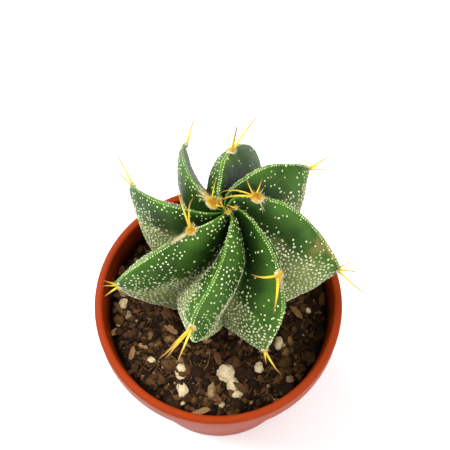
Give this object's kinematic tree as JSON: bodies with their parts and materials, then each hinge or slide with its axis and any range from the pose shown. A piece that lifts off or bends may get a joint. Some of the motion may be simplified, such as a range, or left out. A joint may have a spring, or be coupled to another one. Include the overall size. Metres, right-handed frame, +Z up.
{
  "type": "potted star cactus",
  "caption": "Young ribbed star cactus with felt flecks, wool and curved spines, standing in soil in a small round tapered plastic pot with a collared rim.",
  "frame": {"origin": "centre of the pot's underside", "axes": "+Z up out of the pot, -Y towards the picture's near side, +X to its right"},
  "size_m": [0.0584, 0.0661, 0.0843],
  "materials": {
    "pot": "satin",
    "soil": "matte",
    "cactus": "satin"
  },
  "bodies": {
    "root": {"pot": "pot", "soil": "soil", "cactus": "cactus"}
  },
  "joints": []
}
